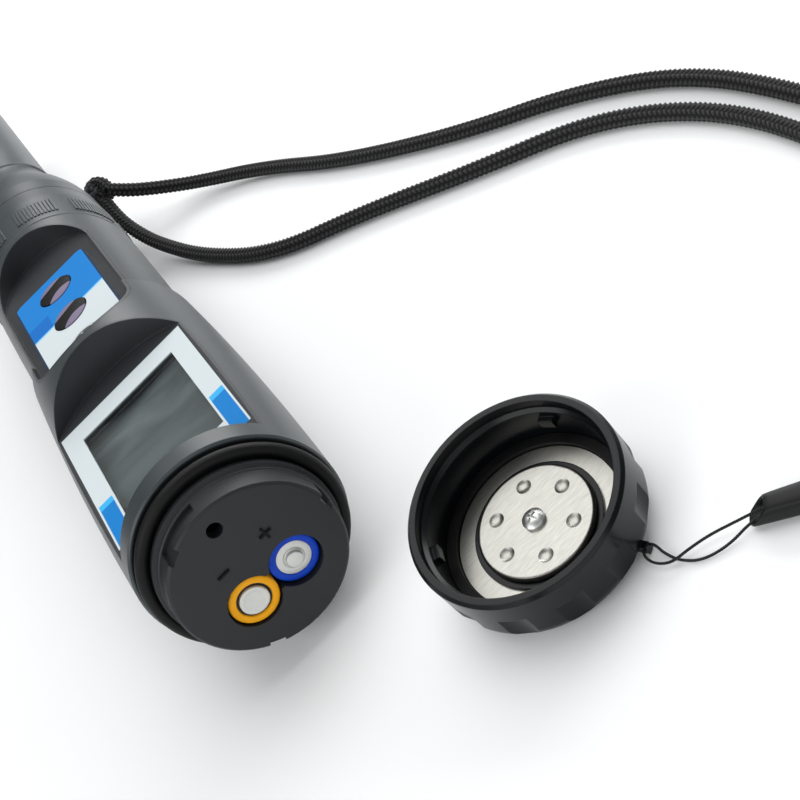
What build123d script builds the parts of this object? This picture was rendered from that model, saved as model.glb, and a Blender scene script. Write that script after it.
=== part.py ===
"""Pen-type digital water tester lying on its back, with its battery cap taken off.

Frame: millimetres, +Z up, the floor at z = 0. The tester's axis runs along +Y, towards the probe, and the
origin is on the floor under that axis, at the middle of the flat land that the housing rests on. A place
along the tester is its station: the distance from the end face of the battery spigot. A height inside the
tester is measured from its axis.
"""
from build123d import *
import math
import os

# ---- driving sizes of the tester ------------------------------------------------------------------
LAND_START = 14.0          # stations of the flat land on the back
LAND_END = 150.0
LAND_WIDTH = 14.0
SHELL_START = 11.0         # battery end of the housing
WAIST = 100.5              # where the display section steps down to the keypad section
SHELL_END = 155.3          # probe end of the housing, at the parting line
SHELL_END_R = 22.55
BARREL_R = 23.0
AXIS_Z = BARREL_R          # height of the tester's axis over the floor
WAIST_R = 21.7
KEYPAD_R = 20.25
KEYPAD_MID_R = 20.6
PARTING_R = 20.5
WALL = 2.5

AAA_R = 5.25               # standard AAA cell
AAA_LENGTH = 44.5
AAA_NUB_R = 1.9
AAA_NUB = 1.0
CELL_X = AAA_R + 0.2       # the two rows of cells, each side of the centre plane
CELL_H = -4.5
CELL_CLEAR = 0.3
BAY_WALL = 1.1
BAY_R = AAA_R + CELL_CLEAR + BAY_WALL
CELL_START = 1.0
BAY_END = CELL_START + 2 * AAA_LENGTH + 4.6

SPIGOT_R = 18.4
SPIGOT_WALL = 2.2
CHANNEL_DEPTH = 1.3        # bayonet channels
CHANNEL_END = 5.2          # behind them a short land at the full radius centres the cap
RELIEF = 0.3
RIDGE_START = 6.2          # ridge that holds the sealing ring in its groove
RIDGE_END = 7.6
RIDGE_R = SPIGOT_R + 0.8
GROOVE_R = SPIGOT_R + 0.5
SEAL_MINOR_R = 1.45
FLANGE_START = 11.7
FLANGE_END = 13.3
PLUG_END = 14.0
CAP_CLEAR = 0.2            # battery cap's bore over the spigot
LUG_ANGLES = (0.0, 120.0, 240.0)

LCD_FLOOR_H = 12.3         # floor of the display pocket
LCD_LABEL_W = 36.2
LCD_LABEL_START = 19.6
LCD_LABEL_END = 69.2
LABEL_T = 0.3
LENS_T = 1.4
KEY_FLOOR_H = 12.9         # floor of the keypad pocket
KEY_POCKET_R = 15.3
KEY_POCKET_NEAR = 95.4
KEY_POCKET_FAR = 138.0
LINER = 0.65               # thickness of the dark liners in both pockets
PAD_TOP_H = 15.1
PAD_HALF_W = 11.8
PAD_START = 85.6
PAD_END = 132.4
BUTTON_HALF_W = 4.9        # oval buttons, a little wider than they are long
BUTTON_HALF_L = 4.65
BUTTON_CLEAR = 0.25
CROWN_R = 23.0             # dome of a button
STEM_R = 3.0
STEM_CLEAR = 0.4
BUTTON_STATIONS = (124.2, 108.2, 92.2)
BUTTON_TRAVEL = 0.5
DECK_H = 9.6               # underside of the deck that carries the display and the keys
BOARD_H = CELL_H + BAY_R + 1.05   # the board lies just over the battery bay
BOARD_T = 1.6

COLLAR_R = 20.5
COLLAR_END_R = 20.1
COLLAR_END = 181.0
NECK_R = 17.2
NECK_END = 166.0
PORT_R = NECK_R - 2.6      # bore of the neck that the probe module plugs into
PLUG_R = PORT_R - 0.3
PLUG_GROOVE_R = PLUG_R - 1.1
LIP_R = NECK_R - 2.0       # captive neck behind the collar's lip
CONE_END = 212.3
CONE_END_R = 15.4
TUBE_R = 11.4
GUARD_START = 262.0
PROBE_END = 292.0
SLEEVE_R = 13.5
SLEEVE_WALL = 1.3
SLEEVE_END = 306.0
RUN = 0.3                  # gap between curved faces that move past each other

# ---- driving sizes of the battery cap -------------------------------------------------------------
CAP_X = 42.6
CAP_STATION = -27.0
CAP_LEAN = 10.0            # degrees: it leans on the turning rib of its closed face
CAP_R = 21.3
CAP_H = 13.9
CAP_FLOOR = 2.2
CAP_EDGE = 4.0             # rounding of the closed end
CAP_TURN = 37.0            # where its first bayonet lug points
STRING_TURN = -62.0        # where the keeper string leaves the cap
RIB_R = 1.5
DISC_R = 11.7
DISC_TOP = 4.7
DIMPLE_R = 1.5
DIMPLE_PCD_R = 7.9

# ---- cords ----------------------------------------------------------------------------------------
CORD_D = 3.5
STRING_D = 0.7

END_FACE_Y = -(LAND_START + LAND_END) / 2
AXIS = Axis((0, 0, AXIS_Z), (0, 1, 0))


# ---- helpers --------------------------------------------------------------------------------------
def flat_point(radius, station):
    return (radius, station + END_FACE_Y, AXIS_Z)


def spin(edges):
    """Solid of revolution about the tester's axis from a closed chain of edges."""
    return revolve(make_face(edges), AXIS, 360)


def turned(*outline):
    """Solid of revolution from (radius, station) corners."""
    points = [flat_point(radius, station) for radius, station in outline]
    return spin(Polyline(*points, close=True).edges())


def block(x0, x1, s0, s1, h0, h1):
    """Box between two x, two stations and two heights over the axis."""
    middle = ((x0 + x1) / 2, (s0 + s1) / 2 + END_FACE_Y, (h0 + h1) / 2 + AXIS_Z)
    return Pos(*middle) * Box(x1 - x0, s1 - s0, h1 - h0)


def rod_y(radius, x, h, s0, s1):
    """Cylinder along the tester."""
    place = Pos(x, (s0 + s1) / 2 + END_FACE_Y, h + AXIS_Z) * Rot(90, 0, 0)
    return place * Cylinder(radius, s1 - s0)


def post(radius, x, station, h0, h1):
    """Upright cylinder."""
    return Pos(x, station + END_FACE_Y, (h0 + h1) / 2 + AXIS_Z) * Cylinder(radius, h1 - h0)


def plan(face, h0, h1):
    """Upright prism on a face drawn in x and station."""
    return Pos(0, END_FACE_Y, h0 + AXIS_Z) * extrude(face, h1 - h0)


def ring_y(major, minor, station):
    place = Pos(0, station + END_FACE_Y, AXIS_Z) * Rot(90, 0, 0)
    return place * Torus(major, minor)


def sector(radius, start, sweep, s0, s1):
    """Pie-shaped prism about the axis, angles counted from +X towards +Z."""
    corners = [(0, 0)]
    steps = max(2, int(sweep / 10) + 1)
    for step in range(steps + 1):
        angle = math.radians(start + sweep * step / steps)
        corners.append((radius * math.cos(angle), radius * math.sin(angle)))
    face = make_face(Polyline(*corners, close=True).edges())
    prism = extrude(face, s1 - s0)
    return Pos(0, s1 + END_FACE_Y, AXIS_Z) * Rot(90, 0, 0) * prism


# ---- housing --------------------------------------------------------------------------------------
def housing_envelope():
    """Outer form of the tube: full display section, step, slimmer keypad section, threaded neck."""
    start = flat_point(0, SHELL_START)
    lip = flat_point(SHELL_END_R - 0.4, SHELL_START)
    edge = flat_point(SHELL_END_R, SHELL_START + 0.5)
    waist = flat_point(WAIST_R, WAIST)
    waist_foot = flat_point(KEYPAD_R, WAIST + 2.7)
    parting = flat_point(PARTING_R, SHELL_END)
    neck_root = flat_point(NECK_R, SHELL_END)
    neck = flat_point(NECK_R, NECK_END)
    end = flat_point(0, NECK_END)
    return spin([
        Line(start, lip),
        Line(lip, edge),
        ThreePointArc(edge, flat_point(BARREL_R, (SHELL_START + WAIST) / 2 - 8), waist),
        Line(waist, waist_foot),
        ThreePointArc(waist_foot, flat_point(KEYPAD_MID_R, (WAIST + SHELL_END) / 2 + 4), parting),
        Line(parting, neck_root),
        Line(neck_root, neck),
        Line(neck, end),
        Line(end, start),
    ])


def lcd_pocket_face(inset=0.0):
    """Plan of the display pocket: straight at the battery end, bowed hood wall at the other."""
    near = LCD_LABEL_START - 3.3 + inset
    side = 26.0
    far_side = LCD_LABEL_END + 1.6 - inset
    far_mid = LCD_LABEL_END + 8.9 - inset
    bow_x = 18.6
    return make_face([
        Line((-side, near), (side, near)),
        Line((side, near), (side, far_side - 6)),
        Line((side, far_side - 6), (bow_x, far_side)),
        ThreePointArc((bow_x, far_side), (0, far_mid), (-bow_x, far_side)),
        Line((-bow_x, far_side), (-side, far_side - 6)),
        Line((-side, far_side - 6), (-side, near)),
    ])


def key_pocket_face(inset=0.0):
    """Plan of the keypad pocket: a slot with round ends."""
    length = KEY_POCKET_FAR - KEY_POCKET_NEAR
    slot = SlotCenterToCenter(length, 2 * (KEY_POCKET_R - inset), rotation=90)
    return Pos(0, (KEY_POCKET_FAR + KEY_POCKET_NEAR) / 2) * slot


def main_housing():
    envelope = housing_envelope()
    half = LAND_WIDTH / 2
    land_face = Plane.XZ * make_face(Polyline(
        (-half, 0), (half, 0), (half + 2, 2.5), (half + 2, 6), (-half - 2, 6), (-half - 2, 2.5), close=True
    ).edges())
    land = Pos(0, LAND_END + END_FACE_Y, 0) * extrude(land_face, LAND_END - LAND_START)
    bore_r = BARREL_R - WALL
    slim_bore_r = KEYPAD_R - WALL - 0.3
    cavity = turned(
        (0, SHELL_START), (SHELL_END_R - 0.8, SHELL_START), (SHELL_END_R - 0.8, FLANGE_END + 0.1),
        (bore_r, FLANGE_END + 0.1), (bore_r, WAIST - 12), (slim_bore_r, WAIST - 2),
        (slim_bore_r, SHELL_END - 5), (PORT_R, SHELL_END - 4), (PORT_R, NECK_END), (0, NECK_END),
    )
    deck = block(-30, 30, PLUG_END + RUN, SHELL_END - 3.5, DECK_H, 30)
    body = envelope + land - (cavity - deck)
    body -= plan(lcd_pocket_face(), LCD_FLOOR_H, 30)
    body -= plan(key_pocket_face(), KEY_FLOOR_H, 30)
    seat_h = LCD_FLOOR_H + LINER - LABEL_T - LENS_T
    body -= block(-LCD_LABEL_W / 2 - 0.1, LCD_LABEL_W / 2 + 0.1, LCD_LABEL_START - 0.1,
                  LCD_LABEL_END + 0.1, seat_h, 30)
    body -= block(-14.0, 14.0, 24.4, 63.6, DECK_H - 1, 30)
    for station in BUTTON_STATIONS:
        body -= post(STEM_R + STEM_CLEAR, 0, station, DECK_H - 1, 30)
    for side in (-1, 1):
        inner_x = CELL_X + BAY_R + 1.3
        rail = block(min(side * inner_x, side * 22), max(side * inner_x, side * 22), 22, 148,
                     BOARD_H - 1.6, BOARD_H)
        body += rail & envelope
        for station in BOARD_SCREWS:
            body -= post(0.85, side * SCREW_X, station, BOARD_H - 1.6, BOARD_H + 0.1)
    for ridge in (158.2, 160.8, 163.4):
        body += turned((NECK_R - 0.2, ridge - 0.6), (NECK_R + 0.25, ridge - 0.2),
                       (NECK_R + 0.25, ridge + 0.2), (NECK_R - 0.2, ridge + 0.6)) - rod_y(
                           PORT_R, 0, 0, SHELL_END, NECK_END)
    return body


SCREW_X = 15.0
BOARD_SCREWS = (30.0, 142.0)


def lcd_surround():
    """Dark liner of the display pocket: a thin floor round the label, and the hood wall."""
    envelope = housing_envelope()
    filled = plan(lcd_pocket_face(0.02), LCD_FLOOR_H, 30) & envelope
    hollow = plan(lcd_pocket_face(LINER), LCD_FLOOR_H + LINER, 30)
    near = block(-30, 30, 0, LCD_LABEL_START - 0.5, LCD_FLOOR_H + LINER, 30)
    label = block(-LCD_LABEL_W / 2 - 0.05, LCD_LABEL_W / 2 + 0.05, LCD_LABEL_START - 0.05,
                  LCD_LABEL_END + 0.05, 0, 30)
    return filled - hollow - near - label


def lcd_window():
    top = LCD_FLOOR_H + LINER - LABEL_T
    half = LCD_LABEL_W / 2 - 0.05
    return block(-half, half, LCD_LABEL_START + 0.05, LCD_LABEL_END - 0.05, top - LENS_T + 0.02, top - 0.02)


def lcd_label():
    top = LCD_FLOOR_H + LINER
    half = LCD_LABEL_W / 2 - 0.05
    sheet = block(-half, half, LCD_LABEL_START + 0.05, LCD_LABEL_END - 0.05, top - LABEL_T, top)
    return sheet - block(-13.4, 13.4, 26.2, 62.8, 0, 30)


def lcd_panel():
    return block(-15.2, 15.2, 23.2, 65.0, DECK_H - 1.65, DECK_H - 0.05)


def lcd_backlight():
    return block(-13.5, 13.5, 28.5, 59.5, DECK_H - 3.2, DECK_H - 1.7)


def zebra_strips():
    bottom = BOARD_H + BOARD_T + 0.02
    top = DECK_H - 1.67
    near = block(-13, 13, 25.0, 27.5, bottom, top)
    far = block(-13, 13, 60.5, 63.0, bottom, top)
    return Compound([near, far])


def keypad_panel():
    """Dark liner of the keypad pocket."""
    filled = plan(key_pocket_face(0.02), KEY_FLOOR_H + 0.02, 30) & housing_envelope()
    body = filled - plan(key_pocket_face(LINER), KEY_FLOOR_H + LINER, 30)
    for station in BUTTON_STATIONS:
        body -= post(STEM_R + STEM_CLEAR, 0, station, 0, 30)
    return body


def button_face(station, margin=0.0):
    return Pos(0, station) * Ellipse(BUTTON_HALF_W + margin, BUTTON_HALF_L + margin)


def pad_face():
    full = Pos(0, (PAD_START + PAD_END) / 2) * Rectangle(2 * PAD_HALF_W, PAD_END - PAD_START)
    near = full.vertices().sort_by(Axis.Y)[:2]
    rounded = fillet(near, 5.0)
    return fillet(rounded.vertices().sort_by(Axis.Y)[-2:], 2.4)


def keypad_pad():
    body = plan(pad_face(), KEY_FLOOR_H + LINER + 0.02, PAD_TOP_H)
    for station in BUTTON_STATIONS:
        body -= plan(button_face(station, BUTTON_CLEAR), KEY_FLOOR_H + LINER + 0.5, 30)
        body -= post(STEM_R + STEM_CLEAR, 0, station, 0, 30)
    return body


def keypad_label():
    body = plan(pad_face(), PAD_TOP_H, PAD_TOP_H + LABEL_T)
    for station in BUTTON_STATIONS:
        body -= plan(button_face(station, BUTTON_CLEAR), 0, 30)
    return body


def button(station):
    """Domed oval key with a stem that reaches down to its dome switch."""
    skirt_h = KEY_FLOOR_H + LINER + 0.5 + BUTTON_TRAVEL + 0.1
    crown_h = PAD_TOP_H + LABEL_T + 0.7
    stem_h = BOARD_H + BOARD_T + SWITCH_H + BUTTON_TRAVEL + 0.05
    dome = Pos(0, station + END_FACE_Y, crown_h - CROWN_R + AXIS_Z) * Sphere(CROWN_R)
    key = plan(button_face(station), skirt_h, crown_h) & dome
    return key + post(STEM_R, 0, station, stem_h, skirt_h + 0.2)


SWITCH_H = 0.7


def dome_switches():
    top = BOARD_H + BOARD_T
    return Compound([post(2.6, 0, station, top + 0.02, top + SWITCH_H) for station in BUTTON_STATIONS])


# ---- electronics ----------------------------------------------------------------------------------
def main_board():
    board = block(-16.0, 16.0, 22.0, SOCKET_START - 0.02, BOARD_H + 0.02, BOARD_H + BOARD_T)
    for side in (-1, 1):
        for station in BOARD_SCREWS:
            board -= post(1.1, side * SCREW_X, station, 0, 10)
        board -= block(min(side * 15.4, side * 20), max(side * 15.4, side * 20), 97, 160, 0, 10)
    return board


def board_screws():
    screws = []
    top = BOARD_H + BOARD_T
    for side in (-1, 1):
        for station in BOARD_SCREWS:
            head = post(1.6, side * (SCREW_X - 0.6 * (station > WAIST)), station, top + 0.02, top + 1.1)
            shank = post(0.8, side * SCREW_X, station, BOARD_H - 1.4, top + 0.3)
            screws.append(head + shank)
    return Compound(screws)


def controller_chip():
    top = BOARD_H + BOARD_T
    chip = block(-5, 5, 72.0, 82.0, top + 0.02, top + 1.6)
    return chip


def probe_socket():
    """Socket strip in the end of the housing that takes the pins of the probe module."""
    body = block(-9, 9, SOCKET_START, SOCKET_START + 3.2, -4.5, 4.5)
    for pin_x in PIN_XS:
        body -= rod_y(0.55, pin_x, 0, 146, 152)
    return body


SOCKET_START = 147.6
PIN_XS = (-6.5, -3.9, -1.3, 1.3, 3.9, 6.5)


# ---- battery end ----------------------------------------------------------------------------------
def figure_eight(radius, s0, s1):
    return rod_y(radius, -CELL_X, CELL_H, s0, s1) + rod_y(radius, CELL_X, CELL_H, s0, s1)


def battery_spigot():
    """Black moulding: spigot with bayonet channels, seal groove, flange, and the bay for both rows."""
    plug_r = BARREL_R - WALL - 0.1
    flange_r = SHELL_END_R - 0.9
    inner_r = SPIGOT_R - SPIGOT_WALL - 0.6
    shell = turned(
        (0, 0), (SPIGOT_R - RELIEF - 0.5, 0), (SPIGOT_R - RELIEF, 0.5), (SPIGOT_R - RELIEF, CHANNEL_END),
        (SPIGOT_R, CHANNEL_END + RELIEF), (SPIGOT_R, RIDGE_START), (RIDGE_R, RIDGE_START + 0.3),
        (RIDGE_R, RIDGE_END), (GROOVE_R, RIDGE_END), (GROOVE_R, FLANGE_START), (flange_r, FLANGE_START),
        (flange_r, FLANGE_END), (plug_r, FLANGE_END), (plug_r, PLUG_END), (0, PLUG_END),
    )
    shell -= turned((0, 2.6), (inner_r, 2.6), (inner_r, PLUG_END + 1), (0, PLUG_END + 1))
    bay = figure_eight(BAY_R, 0.0, BAY_END)
    waist_bridge = block(-CELL_X, CELL_X, 0, BAY_END, CELL_H - BAY_R + 2.05, CELL_H + BAY_R - 2.05)
    body = shell + bay + waist_bridge
    body -= figure_eight(AAA_R + CELL_CLEAR, -1, BAY_END - 1.5)
    body -= block(-2.2, 2.2, -1, BAY_END - 1.5, CELL_H - 2.4, CELL_H + 2.4)
    body -= rod_y(1.65, 0, 13.4, -1, 3)
    for angle in LUG_ANGLES:
        channel_r = SPIGOT_R - CHANNEL_DEPTH
        band = turned((channel_r, -1), (SPIGOT_R + 2, -1), (SPIGOT_R + 2, CHANNEL_END), (channel_r, CHANNEL_END))
        body -= band & sector(30, angle - 5.5, 11, -1, CHANNEL_END)
        body -= band & sector(30, angle - 30, 28, 2.4, CHANNEL_END)
    return body


def polarity_marks():
    """Raised plus and minus signs on the end face."""
    plus = block(4.2, 7.0, -0.35, 0, 4.8, 5.3) + block(5.35, 5.85, -0.35, 0, 3.65, 6.45)
    minus = block(-6.7, -3.9, -0.35, 0, 4.8, 5.3)
    return Compound([plus, minus])


def spigot_seal():
    return ring_y(GROOVE_R + SEAL_MINOR_R + 0.05, SEAL_MINOR_R, RIDGE_END + SEAL_MINOR_R + 0.15)


def cell(side, row):
    """AAA cell. The right row has its positive end outwards, the left row its negative end."""
    start = CELL_START + row * (AAA_LENGTH + 0.15)
    end = start + AAA_LENGTH
    x = side * CELL_X
    if side > 0:
        return rod_y(AAA_R, x, CELL_H, start + AAA_NUB, end) + rod_y(
            AAA_NUB_R, x, CELL_H, start, start + AAA_NUB)
    return rod_y(AAA_R, x, CELL_H, start, end - AAA_NUB) + rod_y(AAA_NUB_R, x, CELL_H, end - AAA_NUB, end)


def inner_contacts():
    """Two sprung-brass plates on the end wall of the bay."""
    plates = []
    for side in (-1, 1):
        x = side * CELL_X
        seat = BAY_END - 1.5
        plate = rod_y(3.6, x, CELL_H, seat - 0.6, seat - 0.02)
        crown_end = CELL_START + 2 * AAA_LENGTH + 0.15 + 0.2
        plates.append(plate + rod_y(1.7, x, CELL_H, crown_end, seat - 0.02))
    return Compound(plates)


# ---- probe module ---------------------------------------------------------------------------------
def probe_body():
    """Plug, flange, captive neck, cone shoulder, probe tube and slotted guard, moulded in one."""
    flange_s = NECK_END + 0.4
    neck_start = flange_s + 3.0
    cone_start = COLLAR_END + RUN
    outline = [
        (0, 153.6), (PLUG_R - 1.1, 153.6), (PLUG_R, 154.6), (PLUG_R, 160.2), (PLUG_GROOVE_R, 160.2),
        (PLUG_GROOVE_R, 162.6), (PLUG_R, 162.6), (PLUG_R, flange_s), (NECK_R, flange_s), (NECK_R, neck_start),
        (LIP_R, neck_start), (LIP_R, cone_start),
    ]
    points = [flat_point(r, s) for r, s in outline]
    shoulder = flat_point(COLLAR_END_R, cone_start)
    brow = flat_point(19.9, 189.0)
    cone_mid = flat_point(17.9, 202.5)
    cone_end = flat_point(CONE_END_R, CONE_END)
    tail = [(TUBE_R, CONE_END), (TUBE_R, PROBE_END - 2), (TUBE_R - 1.5, PROBE_END), (0, PROBE_END)]
    tail_points = [flat_point(r, s) for r, s in tail]
    edges = list(Polyline(*points).edges())
    edges += [
        Line(points[-1], shoulder),
        Line(shoulder, brow),
        ThreePointArc(brow, cone_mid, cone_end),
        Line(cone_end, tail_points[0]),
    ]
    edges += list(Polyline(*tail_points).edges())
    edges.append(Line(tail_points[-1], points[0]))
    body = spin(edges)
    chamber_start = GUARD_START - 4
    body -= rod_y(TUBE_R - 1.8, 0, 0, chamber_start, PROBE_END - 2.2)
    body -= rod_y(TUBE_R - 4.5, 0, 0, PROBE_END - 3, PROBE_END + 1)
    for turn in range(4):
        window = block(-3.2, 3.2, GUARD_START, PROBE_END - 3.4, 5, 20)
        body -= window.rotate(AXIS, 45 + 90 * turn)
    for pin_x in PIN_XS:
        body -= rod_y(0.45, pin_x, 0, 153, 156.6)
    body -= rod_y(2.9, 0, 2.0, chamber_start - 3, chamber_start + 1)
    for x, h in CELL_PINS + (TEMP_PIN, REFERENCE):
        body -= rod_y(1.3, x, h, chamber_start - 3, chamber_start + 1)
    return body + lanyard_lug()


CELL_PINS = ((-4.6, -3.4), (4.6, -3.4))
TEMP_PIN = (0.0, -6.3)
REFERENCE = (5.8, 3.4)
LUG_STATION = 205.5
LUG_X = 20.2
LUG_R = 3.2
LUG_H = -6.2


def lanyard_lug():
    """Ear on the right of the cone shoulder, with a hole for the lanyard's hitch."""
    plate = block(12.6, LUG_X, LUG_STATION - LUG_R, LUG_STATION + LUG_R, LUG_H - 1.7, LUG_H + 1.7)
    nose = post(LUG_R, LUG_X, LUG_STATION, LUG_H - 1.7, LUG_H + 1.7)
    hole = post(CORD_D / 2 + 0.15, LUG_X, LUG_STATION, LUG_H - 4, LUG_H + 4)
    return plate + nose - hole


def module_pins():
    return Compound([rod_y(0.4, x, 0, 148.2, 156.5) for x in PIN_XS])


def module_seal():
    return ring_y(PLUG_GROOVE_R + 0.62, 0.6, 161.4)


def glass_electrode():
    stem = rod_y(2.6, 0, 2.0, GUARD_START - 6.8, 281.0)
    bulb = Pos(0, 282.5 + END_FACE_Y, 2.0 + AXIS_Z) * Sphere(3.5)
    return stem + bulb


def conductivity_electrodes():
    return Compound([rod_y(1.2, x, h, GUARD_START - 6.8, 276.0) for x, h in CELL_PINS])


def temperature_sensor():
    x, h = TEMP_PIN
    tip = Pos(x, 280.0 + END_FACE_Y, h + AXIS_Z) * Sphere(1.2)
    return rod_y(1.2, x, h, GUARD_START - 6.8, 280.0) + tip


def reference_junction():
    x, h = REFERENCE
    return rod_y(1.2, x, h, GUARD_START - 6.8, 270.0)


def locking_collar():
    """Union ring that clamps the module to the housing, with eight groups of fine grip ribs."""
    start = SHELL_END + 0.3
    lip_start = NECK_END + 0.4 + 3.0 + RUN
    body = turned(
        (NECK_R + 0.6, start), (COLLAR_R - 0.3, start), (COLLAR_R, start + 0.4), (COLLAR_R - 0.05, 173.0),
        (COLLAR_END_R, COLLAR_END), (LIP_R + RUN, COLLAR_END), (LIP_R + RUN, lip_start),
        (NECK_R + 0.6, lip_start),
    )
    ribs = []
    for group in range(8):
        for rib in range(12):
            angle = 22.5 + 45 * group + (rib - 5.5) * 2.75
            bar = block(-0.32, 0.32, 159.2, 168.6, COLLAR_R - 0.4, COLLAR_R + 0.28)
            ribs.append(bar.rotate(AXIS, angle))
    return body + ribs


def storage_sleeve():
    """Closed grey sleeve that keeps the sensors wet, pushed over the probe up to the cone."""
    start = CONE_END + 0.2
    bore = SLEEVE_R - SLEEVE_WALL
    outer = spin([
        Line(flat_point(0, start), flat_point(CONE_END_R - 0.1, start)),
        ThreePointArc(flat_point(CONE_END_R - 0.1, start), flat_point(14.0, start + 5.5),
                      flat_point(SLEEVE_R, start + 11)),
        Line(flat_point(SLEEVE_R, start + 11), flat_point(SLEEVE_R - 0.1, SLEEVE_END - 4)),
        ThreePointArc(flat_point(SLEEVE_R - 0.1, SLEEVE_END - 4), flat_point(12.1, SLEEVE_END - 1.1),
                      flat_point(SLEEVE_R - 4, SLEEVE_END)),
        Line(flat_point(SLEEVE_R - 4, SLEEVE_END), flat_point(0, SLEEVE_END)),
        Line(flat_point(0, SLEEVE_END), flat_point(0, start)),
    ])
    outer += turned((SLEEVE_R - 0.3, 225.3), (SLEEVE_R + 0.45, 226.2), (SLEEVE_R + 0.45, 226.9),
                    (SLEEVE_R - 0.3, 227.8))
    seal_start = start + 3.0
    inner = turned((0, start - 1), (bore, start - 1), (bore, SLEEVE_END - 3.2), (0, SLEEVE_END - 3.2))
    groove = turned((0, seal_start), (bore + 0.55, seal_start), (bore + 0.55, seal_start + 1.9),
                    (0, seal_start + 1.9))
    return outer - inner - groove


def sleeve_seal():
    return ring_y(SLEEVE_R - SLEEVE_WALL, 0.55, CONE_END + 0.2 + 3.0 + 0.95)


def storage_sponge():
    return rod_y(SLEEVE_R - SLEEVE_WALL - 0.15, 0, 0, PROBE_END + 4.5, SLEEVE_END - 3.25)


# ---- battery cap ----------------------------------------------------------------------------------
def cap_place():
    """Where the cap's own frame lies: +Z out of its open side, resting on its edge and its rib."""
    lean = math.radians(CAP_LEAN)
    lift = (CAP_R - CAP_EDGE) * math.sin(lean) + CAP_EDGE * (1 - math.cos(lean))
    return Pos(CAP_X, CAP_STATION + END_FACE_Y, lift) * Rot(CAP_LEAN, 0, 0)


def cap_turned(edges):
    return revolve(Plane.XZ * make_face(edges), Axis.Z, 360)


def cap_ring(inner, outer, low, high):
    return Pos(0, 0, (low + high) / 2) * (Cylinder(outer, high - low) - Cylinder(inner, high - low))


def battery_cap():
    bore = SPIGOT_R + CAP_CLEAR
    step = RIDGE_R + CAP_CLEAR
    arc_mid = (CAP_R - CAP_EDGE * (1 - math.sqrt(0.5)), CAP_EDGE * (1 - math.sqrt(0.5)))
    shell = cap_turned([
        Line((0, 0), (CAP_R - CAP_EDGE, 0)),
        ThreePointArc((CAP_R - CAP_EDGE, 0), arc_mid, (CAP_R, CAP_EDGE)),
        Line((CAP_R, CAP_EDGE), (CAP_R, CAP_H - 0.7)),
        Line((CAP_R, CAP_H - 0.7), (CAP_R - 0.6, CAP_H)),
        Line((CAP_R - 0.6, CAP_H), (step, CAP_H)),
        Line((step, CAP_H), (step, CAP_H - 2.2)),
        Line((step, CAP_H - 2.2), (bore, CAP_H - 2.9)),
        Line((bore, CAP_H - 2.9), (bore, CAP_FLOOR)),
        Line((bore, CAP_FLOOR), (0, CAP_FLOOR)),
        Line((0, CAP_FLOOR), (0, 0)),
    ])
    scallops = []
    for turn in range(12):
        angle = math.radians(CAP_TURN + 8 + 30 * turn)
        reach = CAP_R + 5.1
        cutter = Pos(reach * math.cos(angle), reach * math.sin(angle), -1) * Cylinder(
            6.0, CAP_H - 4.5, align=(Align.CENTER, Align.CENTER, Align.MIN))
        scallops.append(cutter)
    shell -= scallops
    for step_turn in range(3):
        angle = CAP_TURN + 120 * step_turn
        lug = Pos(SPIGOT_R - 0.05, 0, 8.6) * Box(1.9, 3.0, 2.0)
        shell += Rot(0, 0, angle) * lug
    rib_crest = rib_depth() - RIB_R
    rib = Pos(0, 0, -rib_crest / 2 + 0.5) * Box(30, 2 * RIB_R, rib_crest + 1)
    rib += Pos(0, 0, -rib_crest) * Rot(0, 90, 0) * Cylinder(RIB_R, 30)
    boss = cap_ring(1.25, 3.6, CAP_FLOOR - 0.2, DISC_TOP - 0.55 - 0.1)
    shell = shell + rib + boss
    shell -= Pos(0, 0, CAP_FLOOR - 1.2) * Cylinder(1.25, 5, align=(Align.CENTER, Align.CENTER, Align.MIN))
    eye = Pos(EYE_R - 0.75, 0, EYE_H + 0.15) * Box(3.3, 1.4, 2.2)
    eye -= Pos(EYE_R, 0, EYE_H) * Rot(90, 0, 0) * Cylinder(STRING_D / 2 + 0.2, 4)
    return shell + Rot(0, 0, STRING_TURN) * eye


EYE_R = 21.4               # eye for the string, under the rounded edge of the cap
EYE_H = 1.5


def rib_depth():
    """How far the rib stands out of the closed face, so that rib and edge touch the floor together."""
    lean = math.radians(CAP_LEAN)
    lift = (CAP_R - CAP_EDGE) * math.sin(lean) + CAP_EDGE * (1 - math.cos(lean))
    return RIB_R + (lift - RIB_R) / math.cos(lean)


def cap_gasket():
    return cap_ring(16.5, SPIGOT_R + CAP_CLEAR - 0.1, CAP_FLOOR + 0.02, CAP_FLOOR + 1.5)


def flange_plate():
    return cap_ring(4.0, 16.3, CAP_FLOOR + 0.02, CAP_FLOOR + 0.5)


def insulator_ring():
    return cap_ring(10.4, DISC_R + 1.1, CAP_FLOOR + 0.52, CAP_FLOOR + 1.1)


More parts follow.
